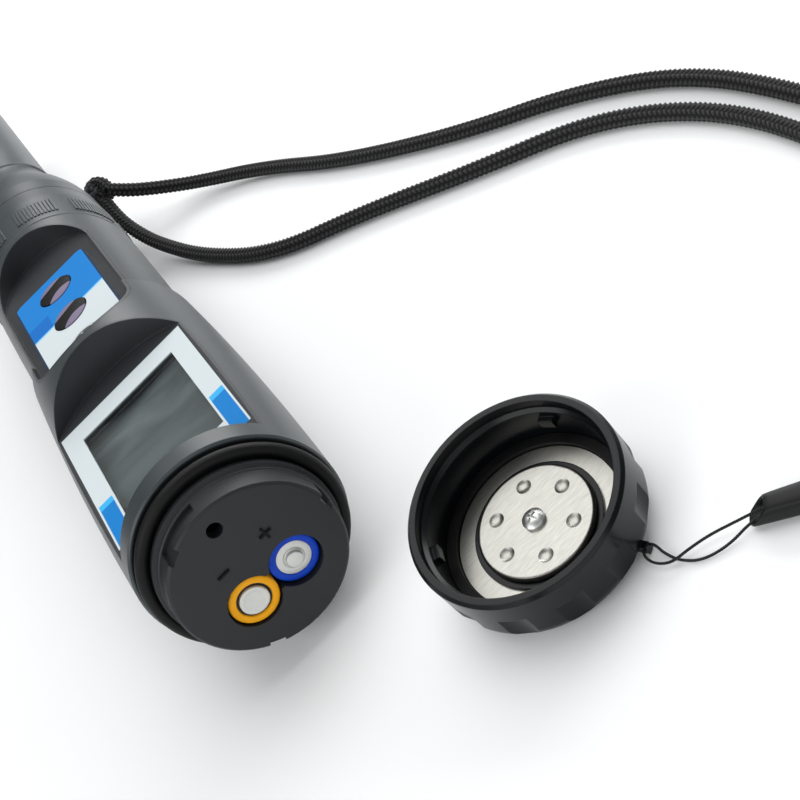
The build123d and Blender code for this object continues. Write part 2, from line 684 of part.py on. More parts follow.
def contact_disc():
    """Pressed steel pan with six dimples, free to turn on its screw."""
    top = DISC_TOP
    pan = cap_turned([
        Line((1.7, top - 0.5), (DISC_R - 0.9, top - 0.5)),
        Line((DISC_R - 0.9, top - 0.5), (DISC_R - 0.5, top - 0.9)),
        Line((DISC_R - 0.5, top - 0.9), (DISC_R - 0.5, CAP_FLOOR + 1.4)),
        Line((DISC_R - 0.5, CAP_FLOOR + 1.4), (DISC_R, CAP_FLOOR + 1.4)),
        Line((DISC_R, CAP_FLOOR + 1.4), (DISC_R, top - 0.7)),
        ThreePointArc((DISC_R, top - 0.7), (DISC_R - 0.2, top - 0.2), (DISC_R - 0.7, top)),
        Line((DISC_R - 0.7, top), (1.7, top)),
        Line((1.7, top), (1.7, top - 0.5)),
    ])
    for turn in range(6):
        angle = math.radians(DIMPLE_TURN + 60 * turn)
        spot = Pos(DIMPLE_PCD_R * math.cos(angle), DIMPLE_PCD_R * math.sin(angle), top + 2.1)
        pan -= spot * Sphere(math.hypot(DIMPLE_R, 2.1))
    return pan


DIMPLE_TURN = 8.0


def contact_screw():
    low = DISC_TOP + 0.05
    shank = Pos(0, 0, CAP_FLOOR - 1.1) * Cylinder(1.2, low - CAP_FLOOR + 1.3,
                                                 align=(Align.CENTER, Align.CENTER, Align.MIN))
    head_top = low + 1.45
    blank = Pos(0, 0, low) * Cylinder(2.2, head_top - low, align=(Align.CENTER, Align.CENTER, Align.MIN))
    head = blank & (Pos(0, 0, head_top - 3.4) * Sphere(3.4))
    for turn in (0, 90):
        head -= Rot(0, 0, 20 + turn) * Pos(0, 0, low + 1.3) * Box(2.2, 0.5, 1.2)
    return head + shank


# ---- lanyard --------------------------------------------------------------------------------------
# Hand-chosen routes in x, station and height over the floor.
STRAND_A = [
    (24.4, 201.0, 16.2), (28.0, 198.1, 13.2), (34.8, 195.0, 8.4), (44.5, 187.8, 3.8), (60.8, 165.9, 1.85),
    (75.1, 135.0, 1.85), (98.5, 100.2, 1.85), (120.5, 76.0, 1.85), (136.6, 47.3, 1.85),
    (142.4, 12.0, 1.85), (142.8, -24.0, 1.85), (134.0, -58.0, 1.85), (113.6, -83.6, 2.1),
    (93.6, -82.2, 2.65), (84.6, -74.4, 2.65),
]
STRAND_B = [
    (20.9, 200.2, 14.0), (20.4, 194.4, 11.0), (21.4, 186.7, 7.4), (24.1, 175.7, 3.9), (31.2, 152.9, 1.85),
    (44.6, 125.8, 1.85), (67.2, 107.8, 1.85), (92.5, 82.8, 1.85), (117.4, 60.9, 1.85),
    (131.9, 30.2, 1.85), (135.0, -6.0, 1.85), (130.4, -41.0, 1.85), (112.8, -68.6, 2.1),
    (95.6, -76.6, 2.65), (87.2, -71.2, 2.65),
]
CAP_STRING = [
    (69.9, -60.5, 2.3), (66.2, -60.8, 1.0), (61.8, -59.4, 0.42), (57.6, -56.8, 0.42), (55.0, -53.2, 0.42),
    (54.1, -49.6, 0.7), (54.1, -46.8, 1.15), (53.3, -45.6, 1.26), (51.9, -46.1, 1.26), (51.3, -47.7, 1.25),
    (51.7, -50.4, 1.3), (53.6, -52.9, 1.35), (57.2, -53.4, 1.3), (61.4, -54.6, 1.4), (65.6, -56.9, 2.0),
    (69.6, -59.2, 2.9),
]


def world(points):
    return [(x, station + END_FACE_Y, z) for x, station, z in points]


def tube(points, diameter, name):
    """Straight runs joined by tangent arcs, each as large as its two runs allow."""
    path_points = [Vector(*point) for point in world(points)]
    radii = []
    for before, here, after in zip(path_points, path_points[1:], path_points[2:]):
        run_in = here - before
        run_out = after - here
        turn = math.radians(run_in.get_angle(run_out))
        radii.append(0.45 * min(run_in.length, run_out.length) / math.tan(turn / 2))
    path = FilletPolyline(*path_points, radius=radii)
    wire = Wire(path.edges())
    start = path_points[0]
    section = Plane(start, z_dir=(path_points[1] - start)) * Circle(diameter / 2)
    solid = sweep(section, path=wire)
    ideal = math.pi * diameter ** 2 / 4 * wire.length
    print(name, "length %.1f" % wire.length, "volume ratio %.4f" % (solid.volume / ideal),
          "least radius %.1f" % min(radii), "radii", [round(radius, 1) for radius in radii])
    return solid


SLEEVE_START = (69.0, -59.4, 2.65)
SLEEVE_FINISH = (85.6, -72.6, 2.65)

def lanyard_connector():
    """Moulded sleeve that joins the two cord ends to the thin string."""
    start = Vector(*world([SLEEVE_START])[0])
    finish = Vector(*world([SLEEVE_FINISH])[0])
    along = finish - start
    length = along.length
    front = Plane(start, x_dir=Vector(0, 0, 1).cross(along), z_dir=along)
    sections = [
        front.offset(0) * Ellipse(2.3, 2.1),
        front.offset(1.2) * Ellipse(2.75, 2.5),
        front.offset(length * 0.55) * Ellipse(3.1, 2.6),
        front.offset(length - 1.0) * Ellipse(4.2, 2.6),
        front.offset(length) * Ellipse(4.0, 2.45),
    ]
    return loft(sections, ruled=True)


def lanyard_hitch():
    """Lark's head of the cord through the lug, as one plain body."""
    centre = Pos(LUG_X + 1.4, LUG_STATION + 0.5 + END_FACE_Y, LUG_H + AXIS_Z - 0.4)
    return centre * scale(Sphere(1), (4.4, 6.6, 4.4))


# ---- write every node -----------------------------------------------------------------------------
def export_all():
    os.makedirs("parts", exist_ok=True)
    place = cap_place()
    nodes = {
        "main_housing": main_housing(),
        "lcd_surround": lcd_surround(),
        "lcd_window": lcd_window(),
        "lcd_label": lcd_label(),
        "lcd_panel": lcd_panel(),
        "lcd_backlight": lcd_backlight(),
        "zebra_strips": zebra_strips(),
        "keypad_panel": keypad_panel(),
        "keypad_pad": keypad_pad(),
        "keypad_label": keypad_label(),
        "mode_button": button(BUTTON_STATIONS[0]),
        "set_button": button(BUTTON_STATIONS[1]),
        "power_button": button(BUTTON_STATIONS[2]),
        "dome_switches": dome_switches(),
        "main_board": main_board(),
        "board_screws": board_screws(),
        "controller_chip": controller_chip(),
        "probe_socket": probe_socket(),
        "battery_spigot": battery_spigot(),
        "polarity_marks": polarity_marks(),
        "spigot_seal": spigot_seal(),
        "cell_left_outer": cell(-1, 0),
        "cell_left_inner": cell(-1, 1),
        "cell_right_outer": cell(1, 0),
        "cell_right_inner": cell(1, 1),
        "inner_contacts": inner_contacts(),
        "probe_body": probe_body(),
        "module_pins": module_pins(),
        "module_seal": module_seal(),
        "glass_electrode": glass_electrode(),
        "conductivity_electrodes": conductivity_electrodes(),
        "temperature_sensor": temperature_sensor(),
        "reference_junction": reference_junction(),
        "locking_collar": locking_collar(),
        "storage_sleeve": storage_sleeve(),
        "sleeve_seal": sleeve_seal(),
        "storage_sponge": storage_sponge(),
        "battery_cap": place * battery_cap(),
        "cap_gasket": place * cap_gasket(),
        "flange_plate": place * flange_plate(),
        "insulator_ring": place * insulator_ring(),
        "contact_disc": place * contact_disc(),
        "contact_screw": place * contact_screw(),
        "lanyard_strand_a": tube(STRAND_A, CORD_D, "strand a"),
        "lanyard_strand_b": tube(STRAND_B, CORD_D, "strand b"),
        "lanyard_hitch": lanyard_hitch(),
        "lanyard_connector": lanyard_connector(),
        "cap_string": tube(CAP_STRING, STRING_D, "string"),
    }
    for name, shape in nodes.items():
        export_step(shape, "parts/" + name + ".step")


export_all()
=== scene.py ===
import bmesh
import bpy
import math
from mathutils import Matrix, Vector


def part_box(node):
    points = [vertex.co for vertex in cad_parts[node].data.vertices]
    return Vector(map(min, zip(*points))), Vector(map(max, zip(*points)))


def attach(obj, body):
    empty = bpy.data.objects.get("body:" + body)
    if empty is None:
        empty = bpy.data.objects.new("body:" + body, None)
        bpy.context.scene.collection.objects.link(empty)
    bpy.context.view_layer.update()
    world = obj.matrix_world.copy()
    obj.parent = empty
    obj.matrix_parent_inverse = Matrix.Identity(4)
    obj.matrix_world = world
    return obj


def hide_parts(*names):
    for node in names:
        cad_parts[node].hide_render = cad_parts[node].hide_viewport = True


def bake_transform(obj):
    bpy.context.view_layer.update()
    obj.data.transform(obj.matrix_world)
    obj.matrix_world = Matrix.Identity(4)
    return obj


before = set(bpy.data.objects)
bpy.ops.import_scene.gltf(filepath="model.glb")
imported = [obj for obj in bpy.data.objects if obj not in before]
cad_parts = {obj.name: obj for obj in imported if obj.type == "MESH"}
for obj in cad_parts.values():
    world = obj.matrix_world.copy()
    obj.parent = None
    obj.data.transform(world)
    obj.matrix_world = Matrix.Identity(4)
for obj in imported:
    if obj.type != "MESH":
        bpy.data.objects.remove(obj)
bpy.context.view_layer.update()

# ---- Stage ----------------------------------------------------------------------------------------
# A pale table under a large overhead softbox, with a broad fill from the left, a weak one in front and a
# long strip light behind on the right, which draws the soft bright line along the tester's far side.
end_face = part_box("battery_spigot")[0].y          # the open end of the tester


def at(x, station, z):
    """Millimetres across, along from the open end, and over the floor, to a place in metres."""
    return Vector((x / 1000, end_face + station / 1000, z / 1000))


scene = bpy.context.scene
scene.view_settings.view_transform = "Standard"
scene.cycles.transparent_max_bounces = 12

lens = bpy.data.cameras.new("camera")
lens.lens = 71.8
lens.sensor_width = 36.0
lens.clip_start = 0.01
camera = bpy.data.objects.new("camera", lens)
scene.collection.objects.link(camera)
camera_place = at(40.85, -244.76, 195.57)
look_down = math.radians(34.45)
roll = math.radians(-45.13)
camera.matrix_world = (
    Matrix.Translation(camera_place)
    @ Matrix.Rotation(math.pi / 2 - look_down, 4, "X")
    @ Matrix.Rotation(roll, 4, "Z")
)
scene.camera = camera


def linear(code):
    """An sRGB hex colour as the linear RGBA that a shader takes."""
    parts = [int(code[i:i + 2], 16) / 255 for i in (1, 3, 5)]
    return [c / 12.92 if c <= 0.04045 else ((c + 0.055) / 1.055) ** 2.4 for c in parts] + [1.0]


def add(tree, kind, inputs=None, **settings):
    """One shader node, with its settings, and each input either linked or set."""
    made = tree.nodes.new(kind)
    for name, value in settings.items():
        setattr(made, name, value)
    for socket, value in (inputs or {}).items():
        if isinstance(value, bpy.types.NodeSocket):
            tree.links.new(value, made.inputs[socket])
        else:
            made.inputs[socket].default_value = value
    return made


def new_material(name):
    """An empty material with its shader and the place on the object, in metres."""
    material = bpy.data.materials.new(name)
    material.use_nodes = True
    tree = material.node_tree
    place = add(tree, "ShaderNodeTexCoord").outputs["Object"]
    return material, tree, tree.nodes["Principled BSDF"], place


def shade(tree, shader, **inputs):
    """Sets or links the shader's own sockets, named with underscores for spaces."""
    for name, value in inputs.items():
        socket = shader.inputs[name.replace("_", " ")]
        if isinstance(value, bpy.types.NodeSocket):
            tree.links.new(value, socket)
        else:
            socket.default_value = value


world = bpy.data.worlds.new("studio")
world.use_nodes = True
world.node_tree.nodes["Background"].inputs["Color"].default_value = linear("#f4f7f8")
world.node_tree.nodes["Background"].inputs["Strength"].default_value = 0.23
scene.world = world


def softbox(name, place, target, size, power):
    """A white rectangular lamp, its size in metres and its power in watts, turned to a target."""
    light = bpy.data.lights.new(name, "AREA")
    light.shape = "RECTANGLE"
    light.size, light.size_y = size
    light.energy = power
    lamp = bpy.data.objects.new(name, light)
    lamp.location = place
    lamp.rotation_euler = (target - place).to_track_quat("-Z", "Y").to_euler()
    scene.collection.objects.link(lamp)


middle = at(30, 40, 20)
softbox("overhead_softbox", at(120, 260, 760), middle, (0.9, 0.9), 4.6)
softbox("left_fill", at(-560, -200, 420), middle, (0.7, 0.5), 2.4)
softbox("front_fill", at(20, -640, 300), middle, (0.8, 0.4), 1.2)
softbox("back_strip", at(430, 420, 300), middle, (0.9, 0.25), 3.1)

table_material, tree, shader, place = new_material("pale_matt_table")
mottle = add(tree, "ShaderNodeTexNoise", {"Vector": place, "Scale": 9.0, "Detail": 3.0})
tone = add(tree, "ShaderNodeValToRGB", {"Fac": mottle.outputs["Fac"]})
tone.color_ramp.elements[0].color = linear("#f3f5f6")
tone.color_ramp.elements[1].color = linear("#fafbfb")
shade(tree, shader, Base_Color=tone.outputs["Color"], Roughness=0.7)
TABLE_HALF = 3.0
TABLE_GAP = 0.0001          # metres under the tester, so that the two faces don't flicker
sheet = bmesh.new()
bmesh.ops.create_grid(sheet, x_segments=2, y_segments=2, size=TABLE_HALF)
table = bpy.data.objects.new("table", bpy.data.meshes.new("table"))
sheet.to_mesh(table.data)
sheet.free()
table.data.materials.append(table_material)
table.location.z = -TABLE_GAP
scene.collection.objects.link(table)

# ---- Lanyard --------------------------------------------------------------------------------------
# Round knitted polyester cord, in two strands that leave a knot on the probe's lug and meet in a moulded
# sleeve. It is stated as 3.5 mm, between its stitches' crowns and roots, and its eight columns of slanted
# stitches stand 4.3 mm over their crowns. Sizes are in millimetres, and places as at() takes them.
CROWN_R = 2.15
KNOT_R = 1.95               # the knot's turns are pressed together
STITCH = 1.4
COLUMNS = 8
RING_GAP = STITCH / 8000    # eight rings to a stitch, in metres
STRAND_A = [
    (24.4, 201.0, 16.2), (28.0, 198.1, 13.2), (34.8, 195.0, 8.4), (44.5, 187.8, 3.8), (60.8, 165.9, 2.1),
    (75.1, 135.0, 2.1), (98.5, 100.2, 2.1), (120.5, 76.0, 2.1), (136.6, 47.3, 2.1),
    (142.4, 12.0, 2.1), (142.8, -24.0, 2.1), (134.0, -58.0, 2.1), (113.6, -83.6, 2.1),
    (93.6, -82.2, 2.65), (84.6, -74.4, 2.65),
]
STRAND_B = [
    (20.9, 200.2, 14.0), (20.4, 194.4, 11.0), (21.4, 186.7, 7.4), (24.1, 175.7, 3.9), (31.2, 152.9, 2.1),
    (44.6, 125.8, 2.1), (67.2, 107.8, 2.1), (92.5, 82.8, 2.1), (117.4, 60.9, 2.1),
    (131.9, 30.2, 2.1), (135.0, -6.0, 2.1), (130.4, -41.0, 2.1), (112.8, -68.6, 2.1),
    (95.6, -76.6, 2.65), (87.2, -71.2, 2.65),
]


def route(name, points):
    """The smooth line through a cord's control points, as places close together."""
    curve = bpy.data.curves.new(name, "CURVE")
    curve.dimensions = "3D"
    curve.resolution_u = 24
    spline = curve.splines.new("NURBS")
    spline.points.add(len(points) - 1)
    for control, point in zip(spline.points, points):
        control.co = (*at(*point), 1.0)
    spline.order_u = 3
    spline.use_endpoint_u = True
    holder = bpy.data.objects.new(name, curve)
    mesh = bpy.data.meshes.new_from_object(holder)
    line = [vertex.co.copy() for vertex in mesh.vertices]
    bpy.data.objects.remove(holder)
    return line


def even(line, spacing):
    """The same line with places an even distance apart."""
    lengths = [0.0]
    for before, after in zip(line, line[1:]):
        lengths.append(lengths[-1] + (after - before).length)
    count = max(2, round(lengths[-1] / spacing))
    places, index = [], 0
    for step in range(count + 1):
        along = lengths[-1] * step / count
        while index < len(line) - 2 and lengths[index + 1] < along:
            index += 1
        share = (along - lengths[index]) / max(lengths[index + 1] - lengths[index], 1e-9)
        places.append(line[index].lerp(line[index + 1], min(share, 1.0)))
    return places, lengths[-1]


def tube(name, places, radius, sides):
    """A tube mesh along places, its rings in order and its ends open."""
    curve = bpy.data.curves.new(name, "CURVE")
    curve.dimensions = "3D"
    curve.bevel_mode = "ROUND"
    curve.bevel_depth = radius
    curve.bevel_resolution = sides // 2 - 2      # Blender's count for a round of that many sides
    spline = curve.splines.new("POLY")
    spline.points.add(len(places) - 1)
    for control, point in zip(spline.points, places):
        control.co = (*point, 1.0)
    holder = bpy.data.objects.new(name, curve)
    mesh = bpy.data.meshes.new_from_object(holder)
    bpy.data.objects.remove(holder)
    mesh.name = name
    return mesh


def close_ends(mesh):
    """Fills a tube's two open ends."""
    ends = bmesh.new()
    ends.from_mesh(mesh)
    bmesh.ops.holes_fill(ends, edges=[edge for edge in ends.edges if edge.is_boundary])
    ends.to_mesh(mesh)
    ends.free()
    mesh.shade_smooth()


LEAN = 0.34                 # how far a stitch's edges lead and lag its middle, in stitches
MIDDLE, SWING = 0.58, 0.42  # a stitch's height runs from their difference to their sum


def knitted(name, places, radius, columns=COLUMNS, stitch=STITCH / 1000, depth=0.24):
    """Presses slanted stitches into a tube: bumps in columns that lean one way and then the other, their height
    kept for the cord's painted shade.
    """
    mesh = tube(name, places, radius, columns * 4)
    rings = len(places)
    sides = len(mesh.vertices) // rings
    # Each point's stitch height, kept for the painted shade that the cord's material puts between the stitches.
    stitch_shade = mesh.attributes.new("stitch", "FLOAT", "POINT")
    along = 0.0
    for ring in range(rings):
        if ring:
            along += (places[ring] - places[ring - 1]).length
        for side in range(sides):
            vertex = mesh.vertices[ring * sides + side]
            turn = side / sides * columns
            column = int(turn)
            across = (turn - column) * 2 - 1
            lean = 1 if column % 2 else -1
            phase = along / stitch + 0.5 * (column % 2) + lean * across * LEAN
            bump = (MIDDLE + SWING * math.cos(2 * math.pi * phase)) * (1 - across * across)
            stitch_shade.data[ring * sides + side].value = bump
            outward = vertex.co - places[ring]
            vertex.co = places[ring] + outward * (1 - depth * (1 - bump))
    close_ends(mesh)
    return mesh


cord_material, tree, shader, place = new_material("knitted_black_polyester")
# Black polyester yarn, charcoal on the stitches' crowns, with painted shade making it black in the roots
# between them; a soft sheen.
stitch_height = add(tree, "ShaderNodeAttribute", attribute_name="stitch").outputs["Fac"]
tone = add(tree, "ShaderNodeValToRGB", {"Fac": stitch_height})
tone.color_ramp.elements[0].position = 0.3
tone.color_ramp.elements[0].color = linear("#050505")
tone.color_ramp.elements[1].position = 0.95
tone.color_ramp.elements[1].color = linear("#3b3b3d")
fibre = add(tree, "ShaderNodeTexNoise", {"Vector": place, "Scale": 5200.0, "Detail": 2.0})
fuzz = add(tree, "ShaderNodeBump", {"Height": fibre.outputs["Fac"], "Strength": 0.35, "Distance": 0.0001})
shade(tree, shader, Base_Color=tone.outputs["Color"], Roughness=0.78, Normal=fuzz.outputs["Normal"],
      Sheen_Weight=0.12, Sheen_Roughness=0.5)
shader.inputs["Specular IOR Level"].default_value = 0.3


def new_piece(name, mesh, *materials):
    """A mesh as an object in the scene, with its materials."""
    piece = bpy.data.objects.new(name, mesh)
    scene.collection.objects.link(piece)
    for material in materials:
        mesh.materials.append(material)
    return piece


# The knot at the lug: one bight of the same cord pulled over itself, its turns pressed together.
HITCH = [
    (20.9, 200.2, 14.0), (19.4, 203.4, 15.4), (19.3, 207.4, 16.9), (21.0, 210.1, 17.4), (23.6, 209.2, 16.4),
    (24.2, 205.9, 14.9), (23.4, 203.1, 13.9), (21.3, 202.6, 15.6), (20.3, 204.7, 18.2), (21.6, 207.0, 18.7),
    (23.6, 205.6, 18.4), (24.7, 203.0, 17.4), (24.4, 201.0, 16.2),
]
places, _ = even(route("lanyard_knot", HITCH), RING_GAP)
knot = new_piece("lanyard_knot", knitted("lanyard_knot", places, KNOT_R / 1000), cord_material)
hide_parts("lanyard_hitch")
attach(knot, "probe_module")

# ---- Lanyard's connector --------------------------------------------------------------------------
# A moulded black PVC sleeve, hollow and oval, that joins the two strands to the keeper string. Its mouth
# is cut at a slant, and the string's two ends go into it.


def moulded(name, dark, light, roughness, grain=0.25, edge=0.00025, specular=0.5):
    """Moulded plastic: faint clouding, spark-eroded grain about 0.3 mm apart, and softened edges."""
    material, tree, shader, place = new_material(name)
    cloud = add(tree, "ShaderNodeTexNoise", {"Vector": place, "Scale": 55.0, "Detail": 4.0})
    tone = add(tree, "ShaderNodeValToRGB", {"Fac": cloud.outputs["Fac"]})
    tone.color_ramp.elements[0].position = 0.35
    tone.color_ramp.elements[0].color = linear(dark)
    tone.color_ramp.elements[1].position = 0.7
    tone.color_ramp.elements[1].color = linear(light)
    polish = add(tree, "ShaderNodeMapRange", {
        "Value": cloud.outputs["Fac"], "To Min": roughness * 0.9, "To Max": roughness * 1.12})
    pits = add(tree, "ShaderNodeTexNoise", {"Vector": place, "Scale": 3300.0, "Detail": 2.0})
    soft = add(tree, "ShaderNodeBevel", {"Radius": edge}, samples=4)
    bump = add(tree, "ShaderNodeBump", {
        "Height": pits.outputs["Fac"], "Strength": grain, "Distance": 0.00004,
        "Normal": soft.outputs["Normal"]})
    shade(tree, shader, Base_Color=tone.outputs["Color"], Roughness=polish.outputs["Result"],
          Normal=bump.outputs["Normal"], Specular_IOR_Level=specular)
    return material


sleeve_pvc = moulded("moulded_black_pvc", "#060708", "#0a0b0c", 0.42, grain=0.2, specular=0.25)
mouth, back = at(69.0, -59.4, 2.65), at(85.6, -72.6, 2.65)
lie = (back - mouth).normalized()
sideways = Vector((0, 0, 1)).cross(lie)
pose = Matrix.Translation(mouth) @ Matrix((sideways, Vector((0, 0, 1)), lie)).transposed().to_4x4()
reach = (back - mouth).length * 1000
SQUARENESS = 3              # of the sleeve's section: 2 is an ellipse, and more is squarer
shell = bmesh.new()
loops = []
# Rings from inside the mouth, round its lip and back to the far end, in millimetres.
for distance, half_width, half_height, slant in (
        (6.5, 1.1, 0.9, 0.0), (1.2, 1.35, 1.15, 4.0), (-1.5, 1.5, 1.3, 4.0), (-1.75, 1.65, 1.45, 4.0),
        (-1.7, 2.0, 1.8, 4.0), (-1.3, 2.2, 2.0, 4.0), (1.2, 2.3, 2.1, 2.6), (reach * 0.55, 2.6, 2.3, 0.0),
        (reach - 1.2, 4.2, 2.58, 0.0), (reach - 0.4, 4.1, 2.45, 0.0), (reach, 3.6, 2.1, 0.0)):
    ring = bmesh.ops.create_circle(shell, segments=48, radius=1.0)["verts"]
    for vertex in ring:
        x, y = vertex.co.x, vertex.co.y
        flat = 1.0 / max(abs(x) ** SQUARENESS + abs(y) ** SQUARENESS, 1e-6) ** (1 / SQUARENESS)
        x, y = x * flat, y * flat
        vertex.co = pose @ (Vector((x * half_width, y * half_height, distance + slant * (y + 1) / 2)) / 1000)
    loops.append([edge for edge in shell.edges if edge.verts[0] in ring and edge.verts[1] in ring])
for inner, outer in zip(loops, loops[1:]):
    bmesh.ops.bridge_loops(shell, edges=inner + outer)
bmesh.ops.holes_fill(shell, edges=[edge for edge in shell.edges if edge.is_boundary])
bmesh.ops.recalc_face_normals(shell, faces=shell.faces)
mesh = bpy.data.meshes.new("lanyard_connector_sleeve")
shell.to_mesh(mesh)
shell.free()
mesh.shade_smooth()
mesh.set_sharp_from_angle(angle=math.radians(50))
connector = new_piece("lanyard_connector_sleeve", mesh, sleeve_pvc)
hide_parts("lanyard_connector")
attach(connector, "cap")

# ---- Lanyard's strands ----------------------------------------------------------------------------
# The two lengths of the cord between the knot and the connector, lying loose beside each other, fixed where
# they lie.
for name, points in (("lanyard_strand_a", STRAND_A), ("lanyard_strand_b", STRAND_B)):
    places, length = even(route(name, points), RING_GAP)
    mesh = knitted(name + "_cord", places, CROWN_R / 1000)
    strand = new_piece(name + "_cord", mesh, cord_material)
    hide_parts(name)
    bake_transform(strand)

# ---- Keeper string --------------------------------------------------------------------------------
# Thin polyester string, stated as 0.7 mm and 0.58 mm over its fine stitches. It is one loop: both ends are
# held in the lanyard's connector and the bight passes through the eye on the side of the battery cap.
STRING_CROWN_R = 0.29
STRING_STITCH = 0.0005      # metres, as is the gap between the string's rings
STRING_GAP = 0.00012
CAP_STRING = [
    (71.6, -61.2, 2.3), (67.4, -59.6, 1.9), (62.6, -58.8, 0.7), (57.6, -56.8, 0.42), (55.0, -53.2, 0.42),
    (54.1, -49.6, 0.7), (54.1, -46.8, 1.15), (53.3, -45.6, 1.26), (51.9, -46.1, 1.26), (51.3, -47.7, 1.25),
    (51.7, -50.4, 1.3), (53.6, -52.9, 1.35), (57.2, -53.4, 1.3), (61.4, -54.6, 1.4), (66.0, -57.4, 2.0),
    (71.2, -60.4, 2.6),
]
places, length = even(route("cap_string_line", CAP_STRING), STRING_GAP)
mesh = knitted("cap_string_cord", places, STRING_CROWN_R / 1000, columns=4, stitch=STRING_STITCH, depth=0.2)
string = new_piece("cap_string_cord", mesh, cord_material)
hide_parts("cap_string")
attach(string, "cap")

# ---- Housing, collar and probe body ---------------------------------------------------------------
# Grey ABS shells, injection moulded with a fine spark-eroded grain that leaves them satin. The collar is
# a separate nut that holds the probe module on, and shares the finish.


def dress(material, *nodes):
    """Puts a material on CAD pieces."""
    for name in nodes:
        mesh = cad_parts[name].data
        mesh.materials.clear()
        mesh.materials.append(material)


grey_abs = moulded("spark_eroded_grey_abs", "#2c3336", "#32393c", 0.38)
dress(grey_abs, "main_housing", "locking_collar", "probe_body")
sleeve_plastic = moulded("moulded_dark_grey_polypropylene", "#3a4043", "#404649", 0.38)
dress(sleeve_plastic, "storage_sleeve")

# ---- Black mouldings ------------------------------------------------------------------------------
# Black ABS for the battery spigot, the probe's socket and the cap with its insulator, and charcoal ABS for
# the liners of both pockets. The cap comes from a polished mould and shines more than the rest.
spigot_plastic = moulded("eroded_black_abs", "#181a1d", "#1e2023", 0.5, grain=0.3, specular=0.4)
dress(spigot_plastic, "battery_spigot", "probe_socket")
# The polarity marks are moulded in the same black ABS as the face; their darker colour is painted shade,
# standing in for the shade that makes the raised marks show.
painted_shade_mark_plastic = moulded("eroded_black_abs_marks_painted_shade", "#030304", "#060607", 0.6, edge=0.00001, specular=0.2)
dress(painted_shade_mark_plastic, "polarity_marks")
cap_plastic = moulded("polished_black_abs", "#04060a", "#070a0e", 0.24, grain=0.06, edge=0.0003, specular=0.27)
dress(cap_plastic, "battery_cap", "insulator_ring")
liner_plastic = moulded("satin_charcoal_abs", "#24272a", "#2b2e31", 0.42, grain=0.15)
dress(liner_plastic, "lcd_surround", "keypad_panel", "keypad_pad")

# ---- Rubber seals ---------------------------------------------------------------------------------
# Black nitrile O-rings, each in its groove, and a flat gasket in the cap: greased, with a faint bloom that
# leaves the rubber between satin and matt.
seal_rubber, tree, shader, place = new_material("greased_nitrile_rubber")
bloom = add(tree, "ShaderNodeTexNoise", {"Vector": place, "Scale": 240.0, "Detail": 5.0})
tone = add(tree, "ShaderNodeValToRGB", {"Fac": bloom.outputs["Fac"]})
tone.color_ramp.elements[0].position = 0.3
tone.color_ramp.elements[0].color = linear("#040405")
tone.color_ramp.elements[1].position = 0.8
tone.color_ramp.elements[1].color = linear("#0a0b0c")
smear = add(tree, "ShaderNodeMapRange", {"Value": bloom.outputs["Fac"], "To Min": 0.42, "To Max": 0.62})
shade(tree, shader, Base_Color=tone.outputs["Color"], Roughness=smear.outputs["Result"],
      Specular_IOR_Level=0.22)
dress(seal_rubber, "spigot_seal", "module_seal", "sleeve_seal", "cap_gasket")

# ---- Display --------------------------------------------------------------------------------------
# Grey LCD glass under a clear acrylic window that is glued into its liner. Its colour carries painted
# reflections:
# slanted light and dark streaks, which grow stronger towards the keypad. The window and the printed polyester
# label round it lie flush, below the hood.
lcd_low, lcd_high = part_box("lcd_panel")
lcd_glass, tree, shader, place = new_material("lcd_glass_painted_reflections")
across = add(tree, "ShaderNodeSeparateXYZ", {"Vector": place})
# Painted reflections: slanted streaks, none at the near end and full strength at the far end, towards the
# keypad.
reflection_strength = add(tree, "ShaderNodeMapRange", {
    "Value": across.outputs["Y"], "From Min": lcd_low.y, "From Max": lcd_high.y})
turned = add(tree, "ShaderNodeMapping", {
    "Vector": place, "Rotation": (0.0, 0.0, 0.6), "Scale": (35.0, 110.0, 1.0)})
painted_reflection_streak = add(tree, "ShaderNodeTexNoise", {
    "Vector": turned.outputs["Vector"], "Scale": 1.0, "Detail": 2.0, "Distortion": 0.8})
spread = add(tree, "ShaderNodeMapRange", {
    "Value": painted_reflection_streak.outputs["Fac"], "From Min": 0.35, "From Max": 0.7, "To Min": -0.6, "To Max": 0.6})
mixed = add(tree, "ShaderNodeMath", {0: spread.outputs["Result"], 1: reflection_strength.outputs["Result"], 2: 0.5},
            operation="MULTIPLY_ADD")
tone = add(tree, "ShaderNodeValToRGB", {"Fac": mixed.outputs["Value"]})
tone.color_ramp.elements[0].color = linear("#474f51")
tone.color_ramp.elements[1].color = linear("#8c9596")
shade(tree, shader, Base_Color=tone.outputs["Color"], Roughness=0.35)
dress(lcd_glass, "lcd_panel")

acrylic, tree, shader, place = new_material("clear_cast_acrylic")
# Cast sheet: faint ripples a few centimetres long in the polished face.
ripple = add(tree, "ShaderNodeTexNoise", {"Vector": place, "Scale": 35.0, "Detail": 1.0})
bump = add(tree, "ShaderNodeBump", {"Height": ripple.outputs["Fac"], "Strength": 0.08, "Distance": 0.0004})
shade(tree, shader, Base_Color=linear("#f4f8f8"), Roughness=0.05, IOR=1.49, Transmission_Weight=1.0,
      Normal=bump.outputs["Normal"])
dress(acrylic, "lcd_window")


